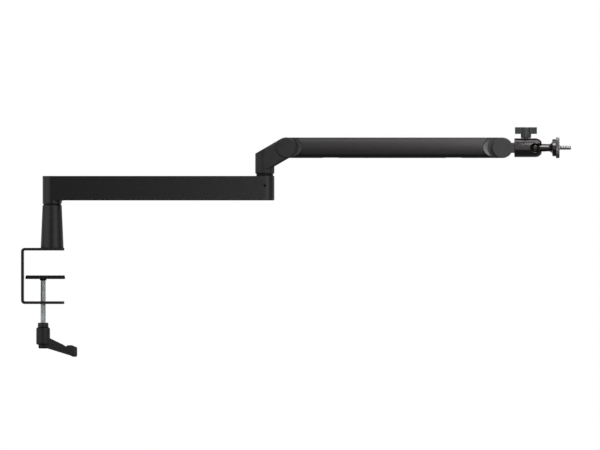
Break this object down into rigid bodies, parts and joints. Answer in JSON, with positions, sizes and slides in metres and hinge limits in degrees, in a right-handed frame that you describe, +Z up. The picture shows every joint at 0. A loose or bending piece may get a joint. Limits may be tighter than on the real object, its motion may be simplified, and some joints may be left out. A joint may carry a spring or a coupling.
{
  "type": "microphone boom arm",
  "caption": "Low-profile desk boom arm for a microphone: C clamp, tapered post, swivelling flat arm, tilting elbow, round upper arm, and a ball head with a T knob and a quarter-inch stud.",
  "frame": {"origin": "on the post's axis, in the underside of the clamp's top jaw, which rests on the desk", "axes": "+X along the straightened arms from the post to the microphone stud, +Z up, -Y towards the front as pictured"},
  "size_m": [0.8246, 0.04, 0.3444],
  "materials": {
    "strip_black": "smooth black powder coat",
    "post_black": "turned aluminium, matte black anodised",
    "arm_black": "extruded aluminium, matte black anodised",
    "tube_black": "extruded aluminium, satin black anodised",
    "cast_black": "die-cast aluminium, satin black paint",
    "gloss_black": "machined aluminium, gloss black anodised",
    "plate_black": "moulded glass-filled nylon, matte black",
    "lever_black": "moulded glass-filled nylon, fine grain",
    "cover_black": "extruded and moulded plastic, matte black",
    "knob_black": "moulded plastic, satin black",
    "rubber_black": "moulded black rubber",
    "disc_rubber": "grey-black cork rubber",
    "disc_black": "turned aluminium, matte black anodised, knurled rim",
    "screw_zinc": "bright zinc-plated steel",
    "stud_steel": "plain steel thread",
    "bright_steel": "ground steel",
    "black_steel": "black oxide on steel",
    "bush_plastic": "natural acetal",
    "neck_plastic": "black acetal",
    "bush_bronze": "sintered bronze"
  },
  "bodies": {
    "clamp_body": {"clamp_frame": "strip_black", "riser": "post_black", "riser_screws": "black_steel", "base_spindle": "bright_steel", "base_thrust_washer": "neck_plastic"},
    "plate_body": {"pressure_plate": "plate_black", "pressure_pad": "rubber_black"},
    "screw_body": {"clamp_screw": "screw_zinc", "screw_retainer": "bright_steel", "lever_insert": "black_steel", "lever_spring": "bright_steel", "lever_screw": "black_steel"},
    "lever_body": {"clamp_lever": "lever_black", "lever_cap": "cover_black"},
    "lower_arm_body": {"lower_arm_beam": "arm_black", "lower_cable_cover": "cover_black", "base_bush": "bush_plastic", "base_spring_washer": "bright_steel", "base_cap": "cover_black", "elbow_bush_upper": "neck_plastic", "elbow_bush_lower": "bush_plastic", "elbow_bore_cap": "cover_black", "elbow_grub_screw": "black_steel", "elbow_brake_plug": "bush_plastic"},
    "elbow_body": {"elbow_housing": "cast_black", "elbow_spigot": "bright_steel", "elbow_hinge_bolt": "black_steel", "elbow_friction_washers": "bush_plastic"},
    "upper_arm_body": {"upper_arm_tube": "tube_black", "upper_cable_cover": "cover_black", "elbow_end_fitting": "cast_black", "head_end_fitting": "cast_black", "elbow_hinge_bush": "bush_bronze", "head_hinge_bush": "bush_bronze", "fitting_screws": "black_steel"},
    "fork_body": {"head_fork": "cast_black", "head_hinge_bolt": "black_steel", "head_friction_washers": "bush_plastic"},
    "housing_body": {"ball_housing": "gloss_black", "housing_plug": "black_steel", "ball_cup": "bush_plastic"},
    "lock_tip_body": {"lock_pin": "bush_bronze"},
    "knob_body": {"lock_screw": "bright_steel", "lock_knob": "knob_black"},
    "stem_body": {"ball_stem": "gloss_black", "mount_stud": "stud_steel"},
    "disc_ring_body": {"disc_pad": "disc_rubber"},
    "disc_body": {"lock_disc": "disc_black"}
  },
  "joints": [
    {"name": "pad_travel", "type": "slide", "parent": "clamp_body", "child": "plate_body", "axis": [0, 0, 1], "range_m": [-0.029, 0.027]},
    {"name": "screw_turn", "type": "hinge", "parent": "plate_body", "child": "screw_body", "pos_m": [-0.0135, 0, -0.08], "axis": [0, 0, 1], "range_deg": [-8340, 7760]},
    {"name": "lever_pull", "type": "slide", "parent": "screw_body", "child": "lever_body", "axis": [0, 0, -1], "range_m": [0, 0.005], "stiffness_N_per_m": 1500, "springref_m": -0.002, "deforming": ["lever_spring"]},
    {"name": "base_swivel", "type": "hinge", "parent": "clamp_body", "child": "lower_arm_body", "pos_m": [0, 0, 0.08], "axis": [0, 0, 1], "continuous": true},
    {"name": "elbow_swivel", "type": "hinge", "parent": "lower_arm_body", "child": "elbow_body", "pos_m": [0.319, 0, 0.11], "axis": [0, 0, 1], "continuous": true},
    {"name": "elbow_tilt", "type": "hinge", "parent": "elbow_body", "child": "upper_arm_body", "pos_m": [0.35085, 0, 0.1541], "axis": [0, -1, 0], "range_deg": [-25, 85]},
    {"name": "head_tilt", "type": "hinge", "parent": "upper_arm_body", "child": "fork_body", "pos_m": [0.6752, 0, 0.1541], "axis": [0, -1, 0], "range_deg": [-70, 70]},
    {"name": "head_roll", "type": "hinge", "parent": "fork_body", "child": "housing_body", "pos_m": [0.69, 0, 0.1541], "axis": [1, 0, 0], "range_deg": [-180, 180]},
    {"name": "lock_travel", "type": "slide", "parent": "housing_body", "child": "lock_tip_body", "axis": [0, 0, 1], "range_m": [0, 0.0015]},
    {"name": "knob_turn", "type": "hinge", "parent": "lock_tip_body", "child": "knob_body", "pos_m": [0.7107, 0, 0.1701], "axis": [0, 0, 1], "range_deg": [0, 530]},
    {"name": "ball_swing", "type": "hinge", "parent": "housing_body", "child": "stem_body", "pos_m": [0.7237, 0, 0.1541], "axis": [0, 0, -1], "range_deg": [-12, 90]},
    {"name": "disc_travel", "type": "slide", "parent": "stem_body", "child": "disc_ring_body", "axis": [1, 0, 0], "range_m": [0, 0.008]},
    {"name": "disc_turn", "type": "hinge", "parent": "disc_ring_body", "child": "disc_body", "pos_m": [0.7577, 0, 0.1541], "axis": [1, 0, 0], "range_deg": [0, 2260]}
  ],
  "couplings": [
    {"joint": "pad_travel", "follows": "screw_turn", "m_per_rad": 0.00019894},
    {"joint": "lock_travel", "follows": "knob_turn", "m_per_rad": 0.00015915},
    {"joint": "disc_travel", "follows": "disc_turn", "m_per_rad": 0.00020213}
  ]
}
